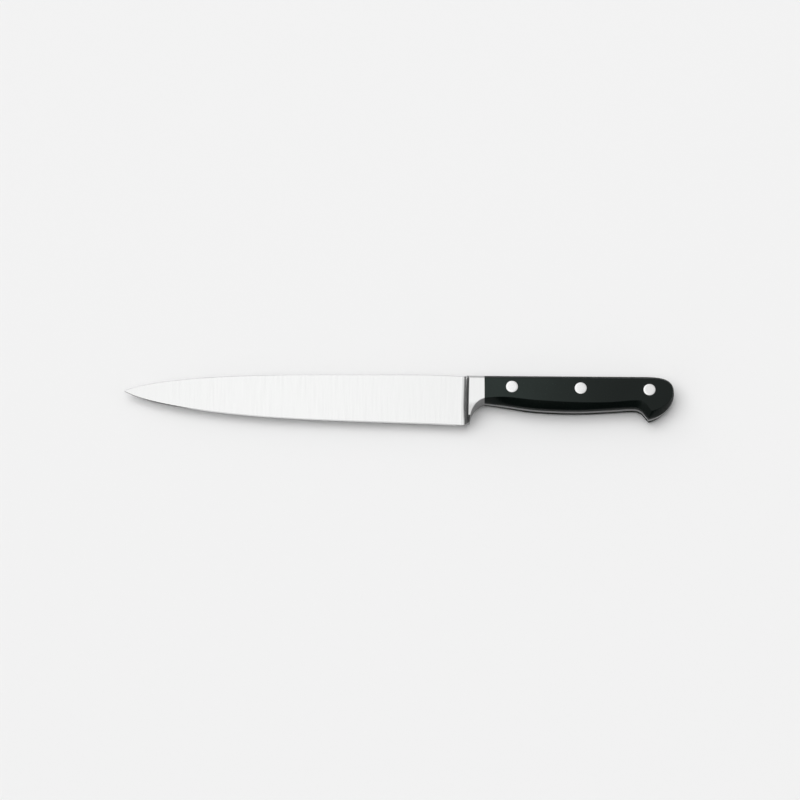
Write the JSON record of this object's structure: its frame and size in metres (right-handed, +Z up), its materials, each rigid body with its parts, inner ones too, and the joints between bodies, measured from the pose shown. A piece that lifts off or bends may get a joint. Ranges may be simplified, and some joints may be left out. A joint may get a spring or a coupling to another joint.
{
  "type": "fillet knife",
  "caption": "Forged fillet knife: slender tapered steel blade with full bolster and heel leg, full tang between rounded black scales with flush steel rivets.",
  "frame": {"origin": "on the table under the middle of the knife's length and depth, with the knife lying flat on its right side", "axes": "+X from the tip to the butt, +Y from the cutting edge to the spine, +Z up, out of the knife's left side"},
  "size_m": [0.3204, 0.0308, 0.0145],
  "materials": {
    "blade_steel": "fine satin ground across the blade, polished bolster",
    "handle_black": "satin moulded black plastic, flats ground with the rivets",
    "rivet_steel": "ground flush and polished"
  },
  "bodies": {
    "root": {"forged_blade": "blade_steel", "left_scale": "handle_black", "right_scale": "handle_black", "front_rivet_sleeve": "rivet_steel", "front_rivet_stud": "rivet_steel", "middle_rivet_sleeve": "rivet_steel", "middle_rivet_stud": "rivet_steel", "rear_rivet_sleeve": "rivet_steel", "rear_rivet_stud": "rivet_steel"}
  },
  "joints": []
}
